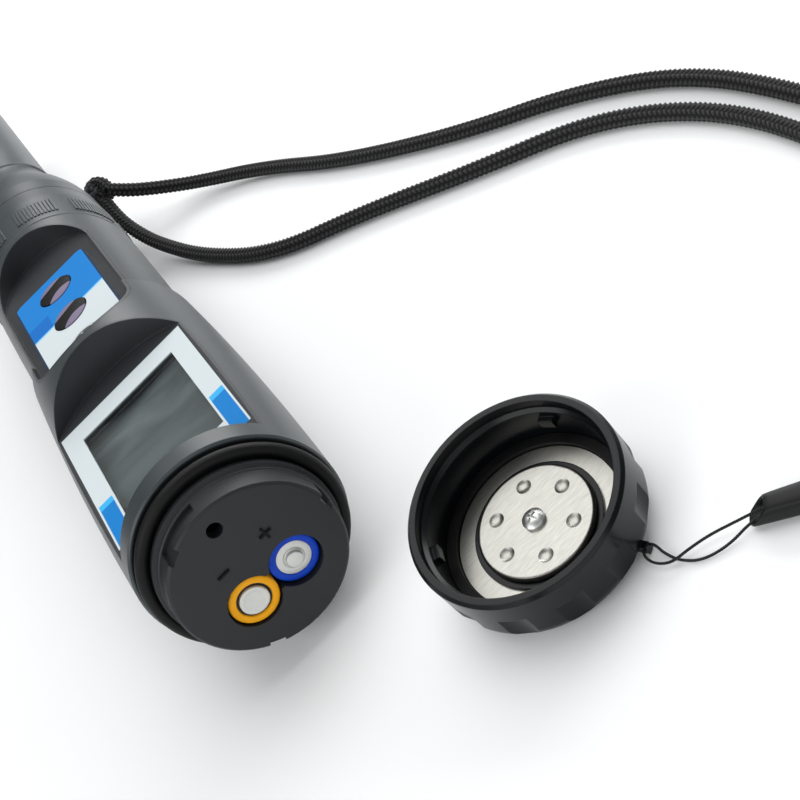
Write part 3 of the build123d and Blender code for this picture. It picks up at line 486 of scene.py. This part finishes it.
def printed(name, base, patches):
    """Screen-printed polyester film: a base colour under patches, each its colour and its span in X and Y.

    A patch that lies wholly right of the middle is mirrored to the left.
    """
    material, tree, shader, place = new_material(name)
    axes = add(tree, "ShaderNodeSeparateXYZ", {"Vector": place}).outputs
    weave = add(tree, "ShaderNodeTexNoise", {"Vector": place, "Scale": 900.0, "Detail": 1.0})
    colour = linear(base)
    for code, x_low, x_high, y_low, y_high in patches:
        mask = 1.0
        for axis, low, high in (("X", x_low, x_high), ("Y", y_low, y_high)):
            value = axes[axis]
            if axis == "X" and x_low >= 0:
                value = add(tree, "ShaderNodeMath", {0: value}, operation="ABSOLUTE").outputs[0]
            above = add(tree, "ShaderNodeMath", {0: value, 1: low}, operation="GREATER_THAN").outputs[0]
            below = add(tree, "ShaderNodeMath", {0: value, 1: high}, operation="LESS_THAN").outputs[0]
            inside = add(tree, "ShaderNodeMath", {0: above, 1: below}, operation="MULTIPLY").outputs[0]
            mask = add(tree, "ShaderNodeMath", {0: inside, 1: mask}, operation="MULTIPLY").outputs[0]
        mix = add(tree, "ShaderNodeMix", {0: mask, 6: colour, 7: linear(code)}, data_type="RGBA")
        colour = mix.outputs[2]
    grain = add(tree, "ShaderNodeMix", {0: 0.012, 6: colour, 7: weave.outputs["Color"]}, data_type="RGBA")
    bump = add(tree, "ShaderNodeBump", {"Height": weave.outputs["Fac"], "Strength": 0.1, "Distance": 0.00002})
    shade(tree, shader, Base_Color=grain.outputs[2], Roughness=0.3, Specular_IOR_Level=0.2,
          Normal=bump.outputs["Normal"])
    return material


def along(station):
    """A distance from the open end in millimetres as a place on the Y axis in metres."""
    return end_face + station / 1000


display_print = printed("display_label_print", "#cdd6d9", [
    ("#007ac6", 0.0139, 0.0181, along(19), along(35)),
    ("#3aaee8", 0.0139, 0.0181, along(35), along(37)),
    ("#cdd6d9", 0.0176, 0.0190, along(19), along(70)),
])
dress(display_print, "lcd_label")
key_print = printed("keypad_label_print", "#cdd6d9", [
    ("#0d7ac8", -0.0118, 0.0118, along(110.3), along(133)),
    ("#7cc4ee", -0.0118, 0.0118, along(109.6), along(110.3)),
    ("#0068bc", -0.0118, -0.0050, along(110.3), along(117)),
    ("#1d3350", 0.0113, 0.0119, along(85), along(133)),
])
dress(key_print, "keypad_label")

# ---- Keys -----------------------------------------------------------------------------------------
# Domed silicone buttons that press steel domes on the board. The upper two are black with two printed
# lilac crescents; the power button is grey with a plain white power mark. The marks' sizes are in
# millimetres from the button's centre.
RING_R, RING_HALF = 2.15, 0.28      # the power mark's ring and half of its line
OPENING_HALF = 0.75                 # half of the opening at the ring's top
BAR_HALF = 0.28
BAR_MIDDLE, BAR_REACH = 1.9, 1.1
RIM_R, RIM_HALF = 4.3, 0.22         # the fine line round the power button
CRESCENT_NEAR, CRESCENT_BOW, CRESCENT_TILT = 2.2, 0.07, 0.35
for name in ("mode_button", "set_button", "power_button"):
    low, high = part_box(name)
    material, tree, shader, place = new_material(name + "_silicone")
    # Silicone with a matt coat, which scatters what the dome would mirror; the print is a mask in it.
    spot = add(tree, "ShaderNodeVectorMath", {0: place, 1: -0.5 * (low + high)}, operation="ADD").outputs[0]
    spot = add(tree, "ShaderNodeVectorMath", {0: spot, 1: (1000, 1000, 1000)}, operation="MULTIPLY").outputs[0]
    u, v = add(tree, "ShaderNodeSeparateXYZ", {"Vector": spot}).outputs[:2]
    if name == "power_button":
        flat = add(tree, "ShaderNodeCombineXYZ", {"X": u, "Y": v}).outputs[0]
        reach = add(tree, "ShaderNodeVectorMath", {0: flat}, operation="LENGTH").outputs["Value"]
        ring = add(tree, "ShaderNodeMath", {0: reach, 1: RING_R, 2: RING_HALF}, operation="COMPARE").outputs[0]
        side = add(tree, "ShaderNodeMath", {0: u}, operation="ABSOLUTE").outputs[0]
        open_side = add(tree, "ShaderNodeMath", {0: side, 1: OPENING_HALF}, operation="GREATER_THAN").outputs[0]
        lower = add(tree, "ShaderNodeMath", {0: v, 1: 0.0}, operation="LESS_THAN").outputs[0]
        kept = add(tree, "ShaderNodeMath", {0: open_side, 1: lower}, operation="MAXIMUM").outputs[0]
        ring = add(tree, "ShaderNodeMath", {0: ring, 1: kept}, operation="MULTIPLY").outputs[0]
        thin = add(tree, "ShaderNodeMath", {0: side, 1: BAR_HALF}, operation="LESS_THAN").outputs[0]
        tall = add(tree, "ShaderNodeMath", {0: v, 1: BAR_MIDDLE, 2: BAR_REACH}, operation="COMPARE").outputs[0]
        bar = add(tree, "ShaderNodeMath", {0: thin, 1: tall}, operation="MULTIPLY").outputs[0]
        rim = add(tree, "ShaderNodeMath", {0: reach, 1: RIM_R, 2: RIM_HALF}, operation="COMPARE").outputs[0]
        mask = add(tree, "ShaderNodeMath", {0: ring, 1: bar}, operation="MAXIMUM").outputs[0]
        mask = add(tree, "ShaderNodeMath", {0: mask, 1: rim}, operation="MAXIMUM").outputs[0]
        base, ink = "#4a5154", "#e2e6e7"
    else:
        bow = add(tree, "ShaderNodeMath", {0: u, 1: u}, operation="MULTIPLY").outputs[0]
        bow = add(tree, "ShaderNodeMath", {0: bow, 1: CRESCENT_BOW, 2: CRESCENT_NEAR},
                  operation="MULTIPLY_ADD").outputs[0]
        upper = add(tree, "ShaderNodeMath", {0: u, 1: CRESCENT_TILT, 2: bow},
                    operation="MULTIPLY_ADD").outputs[0]
        lower = add(tree, "ShaderNodeMath", {0: u, 1: -CRESCENT_TILT, 2: bow},
                    operation="MULTIPLY_ADD").outputs[0]
        over = add(tree, "ShaderNodeMath", {0: v, 1: upper}, operation="GREATER_THAN").outputs[0]
        back = add(tree, "ShaderNodeMath", {0: v, 1: -1.0}, operation="MULTIPLY").outputs[0]
        under = add(tree, "ShaderNodeMath", {0: back, 1: lower}, operation="GREATER_THAN").outputs[0]
        mask = add(tree, "ShaderNodeMath", {0: over, 1: under}, operation="MAXIMUM").outputs[0]
        base, ink = "#050506", "#7a7088"
    colour = add(tree, "ShaderNodeMix", {0: mask, 6: linear(base), 7: linear(ink)}, data_type="RGBA")
    skin = add(tree, "ShaderNodeTexNoise", {"Vector": place, "Scale": 2600.0, "Detail": 2.0})
    bump = add(tree, "ShaderNodeBump", {"Height": skin.outputs["Fac"], "Strength": 0.2, "Distance": 0.00003})
    shade(tree, shader, Base_Color=colour.outputs[2], Roughness=0.45, Specular_IOR_Level=0.25,
          Normal=bump.outputs["Normal"])
    dress(material, name)

# ---- Cells ----------------------------------------------------------------------------------------
# Two AAA alkaline cells show at the open end: steel cans with a printed shrink sleeve rolled over the rim,
# the right one with its positive nub outwards, the left one with its flat negative plate.


def lathe(name, outline, centre):
    """A round shape from (radius, distance) corners in millimetres, about the axis along Y through centre."""
    shape = bmesh.new()
    corners = [shape.verts.new((radius / 1000, distance / 1000, 0)) for radius, distance in outline]
    edges = [shape.edges.new(pair) for pair in zip(corners, corners[1:])]
    bmesh.ops.spin(shape, geom=corners + edges, axis=(0, 1, 0), cent=(0, 0, 0), angle=2 * math.pi,
                   steps=96, use_merge=True)
    bmesh.ops.remove_doubles(shape, verts=shape.verts, dist=1e-7)
    bmesh.ops.recalc_face_normals(shape, faces=shape.faces)
    bmesh.ops.translate(shape, verts=shape.verts, vec=centre)
    mesh = bpy.data.meshes.new(name)
    shape.to_mesh(mesh)
    shape.free()
    mesh.shade_smooth()
    mesh.set_sharp_from_angle(angle=math.radians(38))
    return mesh


nickel, tree, shader, place = new_material("nickel_plated_steel")
# Bright plated sheet, mottled by the press tool in marks about a millimetre across.
marks = add(tree, "ShaderNodeTexNoise", {"Vector": place, "Scale": 900.0, "Detail": 4.0})
polish = add(tree, "ShaderNodeMapRange", {"Value": marks.outputs["Fac"], "To Min": 0.24, "To Max": 0.42})
bump = add(tree, "ShaderNodeBump", {"Height": marks.outputs["Fac"], "Strength": 0.15, "Distance": 0.00003})
shade(tree, shader, Base_Color=linear("#cfd0ce"), Metallic=1.0, Roughness=polish.outputs["Result"],
      Normal=bump.outputs["Normal"])
dress(nickel, "inner_contacts", "dome_switches", "contact_screw")


def wrap(name, code, lip):
    """Printed shrink sleeve: glossy film with faint shrink wrinkles."""
    material, tree, shader, place = new_material(name)
    wrinkle = add(tree, "ShaderNodeTexNoise", {"Vector": place, "Scale": 420.0, "Detail": 3.0})
    tone = add(tree, "ShaderNodeMix", {0: wrinkle.outputs["Fac"], 6: linear(code), 7: linear(lip)},
               data_type="RGBA")
    bump = add(tree, "ShaderNodeBump", {"Height": wrinkle.outputs["Fac"], "Strength": 0.3, "Distance": 0.0001})
    shade(tree, shader, Base_Color=tone.outputs[2], Roughness=0.4, Specular_IOR_Level=0.2,
          Normal=bump.outputs["Normal"])
    return material


plate_steel, tree, shader, place = new_material("satin_plated_cell_plate")
# Barrel-plated nickel, scuffed to a satin by handling.
scuff = add(tree, "ShaderNodeTexNoise", {"Vector": place, "Scale": 1500.0, "Detail": 5.0})
polish = add(tree, "ShaderNodeMapRange", {"Value": scuff.outputs["Fac"], "To Min": 0.38, "To Max": 0.62})
bump = add(tree, "ShaderNodeBump", {"Height": scuff.outputs["Fac"], "Strength": 0.2, "Distance": 0.00003})
shade(tree, shader, Base_Color=linear("#d6d6d2"), Metallic=0.85, Roughness=polish.outputs["Result"],
      Normal=bump.outputs["Normal"])
black_ring = moulded("black_cell_insulator", "#101011", "#161617", 0.5, grain=0.1, edge=0.0001)
CELL_R = 5.25
STAND_OUT = 0.0006          # metres that the drawn cells stand out past the plain ones
for side, code, lip in (("right", "#053bb4", "#0844c4"), ("left", "#eda000", "#f5ad10")):
    low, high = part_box(f"cell_{side}_outer")
    centre = Vector((0.5 * (low.x + high.x), low.y - STAND_OUT, 0.5 * (low.z + high.z)))
    long = (high.y - low.y) * 1000
    face = 0.75 if side == "right" else 0.1      # the rolled film's foremost ring
    sleeve_print = wrap(f"{side}_cell_shrink_film", code, lip)
    sleeve = lathe(f"{side}_cell_sleeve", [
        (3.6, face + 0.6), (3.62, face + 0.25), (3.75, face + 0.06), (4.0, face), (4.8, face + 0.02),
        (5.08, face + 0.12), (5.2, face + 0.3), (CELL_R, face + 0.6), (CELL_R, long - 0.5),
        (5.1, long - 0.15), (4.6, long), (0.0, long)], centre)
    body = new_piece(f"{side}_cell_sleeve", sleeve, sleeve_print)
    if side == "right":
        plate = [(3.66, 1.3), (3.6, 0.95), (3.5, 0.9), (2.3, 0.86), (2.15, 1.0), (1.95, 1.05), (1.78, 0.95),
                 (1.74, 0.2), (1.66, 0.07), (1.5, 0.0), (0.0, 0.02)]
    else:
        plate = [(3.1, 0.6), (3.07, 0.02), (2.97, -0.12), (2.8, -0.18), (2.3, -0.19), (2.15, -0.1),
                 (2.0, -0.08), (0.0, -0.08)]
    end = new_piece(f"{side}_cell_plate", lathe(f"{side}_cell_plate", plate, centre), plate_steel)
    gap = new_piece(f"{side}_cell_grommet", lathe(f"{side}_cell_grommet", [
        (3.7, face + 0.7), (3.62, face + 0.42), (3.3, face + 0.4), (3.1, face + 0.7)], centre), black_ring)
    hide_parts(f"cell_{side}_outer")
    for piece in (body, end, gap):
        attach(piece, f"{side}_cells")
    dress(sleeve_print, f"cell_{side}_inner")

# ---- Battery cap's contact plate ------------------------------------------------------------------
# A stainless spring-steel disc, brushed across after pressing, with six dimples that bear on the cells. A
# pan-head screw holds it over an insulating ring on a pressed flange plate in the floor of the cap.
brushed, tree, shader, place = new_material("brushed_stainless_steel")
# Brush lines about 0.15 mm apart and a few millimetres long, which stretch the highlights across them.
combed = add(tree, "ShaderNodeMapping", {"Vector": place, "Scale": (400.0, 7000.0, 7000.0)})
lines = add(tree, "ShaderNodeTexNoise", {"Vector": combed.outputs["Vector"], "Scale": 1.0, "Detail": 3.0})
tone = add(tree, "ShaderNodeValToRGB", {"Fac": lines.outputs["Fac"]})
tone.color_ramp.elements[0].position = 0.3
tone.color_ramp.elements[0].color = linear("#a3a29c")
tone.color_ramp.elements[1].position = 0.75
tone.color_ramp.elements[1].color = linear("#c0bfb8")
bump = add(tree, "ShaderNodeBump", {"Height": lines.outputs["Fac"], "Strength": 0.25, "Distance": 0.00003})
shade(tree, shader, Base_Color=tone.outputs["Color"], Metallic=1.0, Roughness=0.34, Anisotropic=0.5,
      Normal=bump.outputs["Normal"])
dress(brushed, "contact_disc", "flange_plate", "temperature_sensor")

# ---- Inside of the housing ------------------------------------------------------------------------
# The board and what it carries, hidden behind the display: glass-fibre board under a green solder mask,
# a black epoxy chip, zinc-plated screws, gold pins, striped elastomer strips and an acrylic light guide.
board, tree, shader, place = new_material("green_solder_mask_on_glass_fibre")
tracks = add(tree, "ShaderNodeTexBrick", {
    "Vector": place, "Scale": 260.0, "Mortar Size": 0.03, "Color1": linear("#0c4a2a"),
    "Color2": linear("#10552f"), "Mortar": linear("#1d7a48")})
shade(tree, shader, Base_Color=tracks.outputs["Color"], Roughness=0.3)
dress(board, "main_board")
chip = moulded("black_epoxy_chip", "#111213", "#171819", 0.55, edge=0.0001)
dress(chip, "controller_chip")
light_guide, tree, shader, place = new_material("dotted_acrylic_light_guide")
dots = add(tree, "ShaderNodeTexVoronoi", {"Vector": place, "Scale": 900.0})
tone = add(tree, "ShaderNodeValToRGB", {"Fac": dots.outputs["Distance"]})
tone.color_ramp.elements[0].color = linear("#f2f4f0")
tone.color_ramp.elements[1].color = linear("#cfd6cf")
shade(tree, shader, Base_Color=tone.outputs["Color"], Roughness=0.4)
dress(light_guide, "lcd_backlight")
zebra, tree, shader, place = new_material("striped_conductive_elastomer")
stripes = add(tree, "ShaderNodeTexWave", {"Vector": place, "Scale": 1600.0}, bands_direction="Y")
tone = add(tree, "ShaderNodeValToRGB", {"Fac": stripes.outputs["Fac"]})
tone.color_ramp.elements[0].color = linear("#1a1a1c")
tone.color_ramp.elements[1].color = linear("#c98a94")
shade(tree, shader, Base_Color=tone.outputs["Color"], Roughness=0.7)
dress(zebra, "zebra_strips")
zinc, tree, shader, place = new_material("blue_passivated_zinc_plate")
spangle = add(tree, "ShaderNodeTexNoise", {"Vector": place, "Scale": 700.0, "Detail": 3.0})
tone = add(tree, "ShaderNodeValToRGB", {"Fac": spangle.outputs["Fac"]})
tone.color_ramp.elements[0].color = linear("#9aa3ac")
tone.color_ramp.elements[1].color = linear("#d3d8dd")
shade(tree, shader, Base_Color=tone.outputs["Color"], Metallic=1.0, Roughness=0.35)
dress(zinc, "board_screws")
gold, tree, shader, place = new_material("gold_plated_brass")
wear = add(tree, "ShaderNodeTexNoise", {"Vector": place, "Scale": 1200.0, "Detail": 3.0})
tone = add(tree, "ShaderNodeValToRGB", {"Fac": wear.outputs["Fac"]})
tone.color_ramp.elements[0].color = linear("#c79a3a")
tone.color_ramp.elements[1].color = linear("#e6c065")
shade(tree, shader, Base_Color=tone.outputs["Color"], Metallic=1.0, Roughness=0.25)
dress(gold, "module_pins")

# ---- Sensors and the storage sponge ---------------------------------------------------------------
# At the probe's tip, under the sleeve: a thin glass bulb, two graphite rings, a porous ceramic junction
# and a stainless temperature pin. A damp cellulose sponge in the sleeve keeps the bulb wet.
bulb, tree, shader, place = new_material("blown_electrode_glass")
swirl = add(tree, "ShaderNodeTexNoise", {"Vector": place, "Scale": 120.0, "Detail": 1.0})
bump = add(tree, "ShaderNodeBump", {"Height": swirl.outputs["Fac"], "Strength": 0.1, "Distance": 0.0002})
shade(tree, shader, Base_Color=linear("#e8f2f0"), Roughness=0.04, IOR=1.52, Transmission_Weight=0.9,
      Normal=bump.outputs["Normal"])
dress(bulb, "glass_electrode")
graphite, tree, shader, place = new_material("pressed_graphite")
grains = add(tree, "ShaderNodeTexNoise", {"Vector": place, "Scale": 2500.0, "Detail": 3.0})
tone = add(tree, "ShaderNodeValToRGB", {"Fac": grains.outputs["Fac"]})
tone.color_ramp.elements[0].color = linear("#1c1d1f")
tone.color_ramp.elements[1].color = linear("#3c3e41")
shade(tree, shader, Base_Color=tone.outputs["Color"], Metallic=0.4, Roughness=0.5)
dress(graphite, "conductivity_electrodes")
ceramic, tree, shader, place = new_material("porous_ceramic")
pores = add(tree, "ShaderNodeTexVoronoi", {"Vector": place, "Scale": 2200.0})
tone = add(tree, "ShaderNodeValToRGB", {"Fac": pores.outputs["Distance"]})
tone.color_ramp.elements[0].color = linear("#b9b4a6")
tone.color_ramp.elements[1].color = linear("#ece8dc")
shade(tree, shader, Base_Color=tone.outputs["Color"], Roughness=0.85)
dress(ceramic, "reference_junction")
sponge, tree, shader, place = new_material("damp_cellulose_sponge")
cells = add(tree, "ShaderNodeTexVoronoi", {"Vector": place, "Scale": 800.0})
tone = add(tree, "ShaderNodeValToRGB", {"Fac": cells.outputs["Distance"]})
tone.color_ramp.elements[0].color = linear("#a58a3c")
tone.color_ramp.elements[1].color = linear("#e2cd7e")
bump = add(tree, "ShaderNodeBump", {"Height": cells.outputs["Distance"], "Strength": 0.8, "Distance": 0.0005})
shade(tree, shader, Base_Color=tone.outputs["Color"], Roughness=0.8, Normal=bump.outputs["Normal"])
dress(sponge, "storage_sponge")
